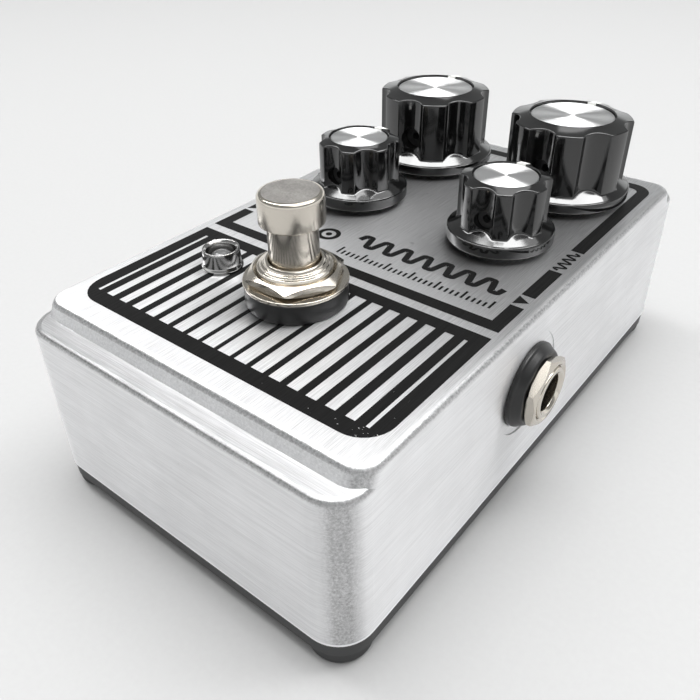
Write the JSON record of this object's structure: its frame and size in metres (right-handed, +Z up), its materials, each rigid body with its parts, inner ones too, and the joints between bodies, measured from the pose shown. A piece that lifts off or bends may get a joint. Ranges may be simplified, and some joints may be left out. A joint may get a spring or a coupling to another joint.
{
  "type": "guitar effects pedal",
  "caption": "Compact floor pedal for guitar: stepped brushed metal box with four fluted knobs, a footswitch, status light and side sockets.",
  "frame": {"origin": "centre of the case footprint on the resting plane under the feet", "axes": "+Z up; +Y to the rear, where the knobs and the power inlet are; +X to the input socket side"},
  "size_m": [0.0738, 0.1128, 0.0534],
  "materials": {
    "brushed_case": "brushed",
    "dark_plate": "satin",
    "foot_rubber": "matt",
    "screw_steel": "satin",
    "black_plastic": "satin",
    "nickel": "polished nickel",
    "contact_brass": "bright",
    "bezel_chrome": "polished",
    "lens_glass": "clear",
    "board_green": "satin",
    "cable_grey": "satin",
    "capacitor_sleeve": "satin",
    "knob_gloss": "gloss",
    "spun_aluminium": "spun",
    "can_steel": "satin"
  },
  "bodies": {
    "pedal": {"enclosure_shell": "brushed_case", "base_plate": "dark_plate", "feet": "foot_rubber", "base_screws": "screw_steel", "footswitch_insulator": "black_plastic", "footswitch_washer": "nickel", "footswitch_nuts": "nickel", "footswitch_bushing": "nickel", "footswitch_housing": "black_plastic", "footswitch_lugs": "contact_brass", "footswitch_spring": "screw_steel", "led_bezel": "bezel_chrome", "led_nut": "nickel", "led_lens": "lens_glass", "led_legs": "screw_steel", "pot_washers": "screw_steel", "pot_nuts": "nickel", "dc_jack": "black_plastic", "dc_jack_pin": "nickel", "main_board": "board_green", "switch_board": "board_green", "ribbon_cable": "cable_grey", "capacitors": "capacitor_sleeve", "op_amps": "black_plastic", "level_pot": "can_steel", "gain_pot": "can_steel", "low_pot": "can_steel", "high_pot": "can_steel", "input_jack": "black_plastic", "input_jack_bushing": "nickel", "input_jack_washer": "black_plastic", "input_jack_nut": "nickel", "input_jack_contacts": "contact_brass", "output_jack": "black_plastic", "output_jack_bushing": "nickel", "output_jack_washer": "black_plastic", "output_jack_nut": "nickel", "output_jack_contacts": "contact_brass"},
    "level_control": {"level_knob": "knob_gloss", "level_knob_disc": "spun_aluminium", "level_pot_shaft": "spun_aluminium", "level_set_screw": "screw_steel"},
    "gain_control": {"gain_knob": "knob_gloss", "gain_knob_disc": "spun_aluminium", "gain_pot_shaft": "spun_aluminium", "gain_set_screw": "screw_steel"},
    "low_control": {"low_knob": "knob_gloss", "low_knob_disc": "spun_aluminium", "low_pot_shaft": "spun_aluminium", "low_set_screw": "screw_steel"},
    "high_control": {"high_knob": "knob_gloss", "high_knob_disc": "spun_aluminium", "high_pot_shaft": "spun_aluminium", "high_set_screw": "screw_steel"},
    "footswitch_button": {"footswitch_plunger": "nickel"}
  },
  "joints": [
    {"name": "level_turn", "type": "hinge", "parent": "pedal", "child": "level_control", "pos_m": [-0.0153, 0.0352, 0.0354], "axis": [0, 0, 1], "range_deg": [-156.5, 143.5]},
    {"name": "gain_turn", "type": "hinge", "parent": "pedal", "child": "gain_control", "pos_m": [0.0153, 0.0352, 0.0354], "axis": [0, 0, 1], "range_deg": [-147, 153]},
    {"name": "low_turn", "type": "hinge", "parent": "pedal", "child": "low_control", "pos_m": [-0.0157, 0.0095, 0.0354], "axis": [0, 0, 1], "range_deg": [-146, 154]},
    {"name": "high_turn", "type": "hinge", "parent": "pedal", "child": "high_control", "pos_m": [0.0157, 0.0095, 0.0354], "axis": [0, 0, 1], "range_deg": [-151.5, 148.5]},
    {"name": "footswitch_press", "type": "slide", "parent": "pedal", "child": "footswitch_button", "axis": [0, 0, -1], "range_m": [0, 0.0025], "stiffness_N_per_m": 1500, "deforming": ["footswitch_spring"]}
  ]
}
